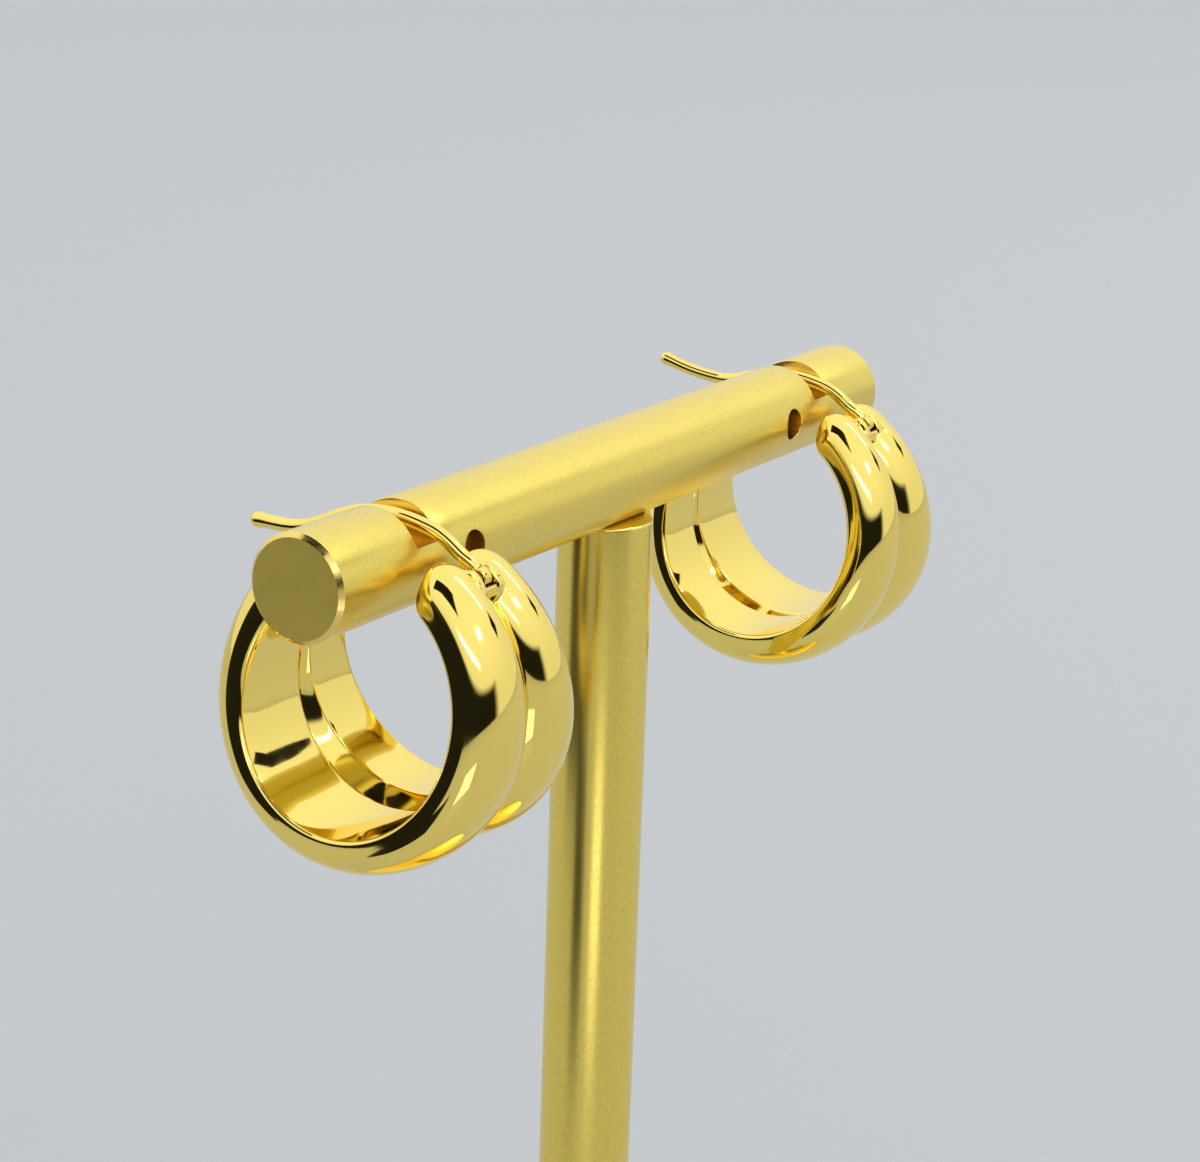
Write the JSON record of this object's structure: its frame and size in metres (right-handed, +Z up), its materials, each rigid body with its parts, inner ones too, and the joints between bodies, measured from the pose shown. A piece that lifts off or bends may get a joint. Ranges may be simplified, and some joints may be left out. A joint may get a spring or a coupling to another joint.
{
  "type": "pair of hoop earrings on a t-bar display stand",
  "caption": "Wide double-rib hoop earrings with hinged ear wires, hung in the notches of a small round T-bar display stand on a disc base.",
  "frame": {"origin": "middle of the underside of the stand's base", "axes": "+Z up along the post, +X along the crossbar, -Y the side on which the hinges of the ear wires lie"},
  "size_m": [0.062, 0.05, 0.085],
  "materials": {
    "polished_gold": "mirror-polished yellow gold plate",
    "satin_gold": "fine-blasted satin gold plate"
  },
  "bodies": {
    "stand_and_hoops": {"crossbar": "satin_gold", "post": "satin_gold", "base": "satin_gold", "left_hoop": "polished_gold", "right_hoop": "polished_gold", "left_hinge_pin": "polished_gold", "right_hinge_pin": "polished_gold"},
    "left_wire": {"left_ear_wire": "polished_gold"},
    "right_wire": {"right_ear_wire": "polished_gold"}
  },
  "joints": [
    {"name": "left_wire_hinge", "type": "hinge", "parent": "stand_and_hoops", "child": "left_wire", "pos_m": [-0.0229, -0.00599, 0.0818], "axis": [1, 0, 0], "range_deg": [0, 85]},
    {"name": "right_wire_hinge", "type": "hinge", "parent": "stand_and_hoops", "child": "right_wire", "pos_m": [0.02332, -0.0058, 0.08157], "axis": [1, 0, 0], "range_deg": [0, 85]}
  ]
}
